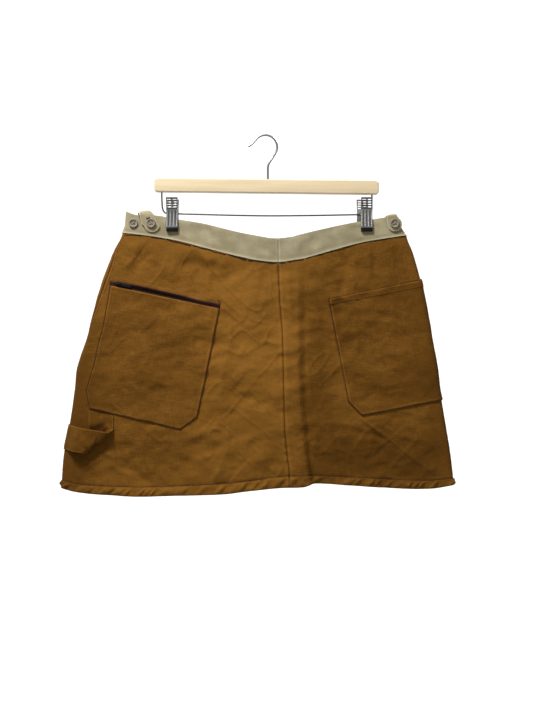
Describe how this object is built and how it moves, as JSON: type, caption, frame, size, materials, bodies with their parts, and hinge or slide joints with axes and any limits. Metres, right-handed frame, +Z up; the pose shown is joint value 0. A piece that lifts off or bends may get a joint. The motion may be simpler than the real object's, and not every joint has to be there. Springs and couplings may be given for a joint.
{
  "type": "cargo utility skirt on a clip hanger",
  "caption": "Short canvas cargo skirt with a buttoned waistband, zip and patch pockets and a hammer loop, hung by two clips from a wooden hanger.",
  "frame": {"origin": "top of the inside of the hanger's hook, where a rail carries it", "axes": "+X to the right of the front as seen, +Y to the back, +Z up"},
  "size_m": [0.6242, 0.0499, 0.5725],
  "materials": {
    "duck": "matte brown cotton duck",
    "waistband": "matte khaki cotton twill",
    "zip_tape": "black woven tape",
    "button": "satin grey-beige",
    "hanger_wood": "clear-coated birch",
    "steel": "plated steel",
    "zip_metal": "black enamelled metal",
    "rubber": "black rubber",
    "thread": "plum sewing thread"
  },
  "bodies": {
    "garment": {"front_panel_right": "duck", "front_panel_left": "duck", "back_panel_left": "duck", "back_panel_right": "duck", "waistband_front_right": "waistband", "waistband_front_left": "waistband", "waistband_back": "waistband", "pocket_right": "duck", "pocket_right_strip": "duck", "zip_tape": "zip_tape", "pocket_left": "duck", "hammer_loop": "duck", "waist_tab_right": "waistband", "waist_tab_left": "waistband", "button_spare": "button", "button_right": "button", "button_left": "button", "hanger_bar": "hanger_wood", "hanger_hook": "steel", "hanger_frame": "steel", "clip_right_front_plate": "steel", "clip_right_front_pad": "rubber", "clip_right_back_plate": "steel", "clip_right_back_pad": "rubber", "clip_right_spring": "steel", "clip_left_front_plate": "steel", "clip_left_front_pad": "rubber", "clip_left_back_plate": "steel", "clip_left_back_pad": "rubber", "clip_left_spring": "steel", "zip_slider": "zip_metal"},
    "pull_tab": {"zip_pull": "zip_metal"}
  },
  "joints": [
    {"name": "pull_tab_hinge", "type": "hinge", "parent": "garment", "child": "pull_tab", "pos_m": [-0.231, -0.01051, -0.23487], "axis": [-0.2181, 0, -0.9759], "range_deg": [0, 160]}
  ]
}
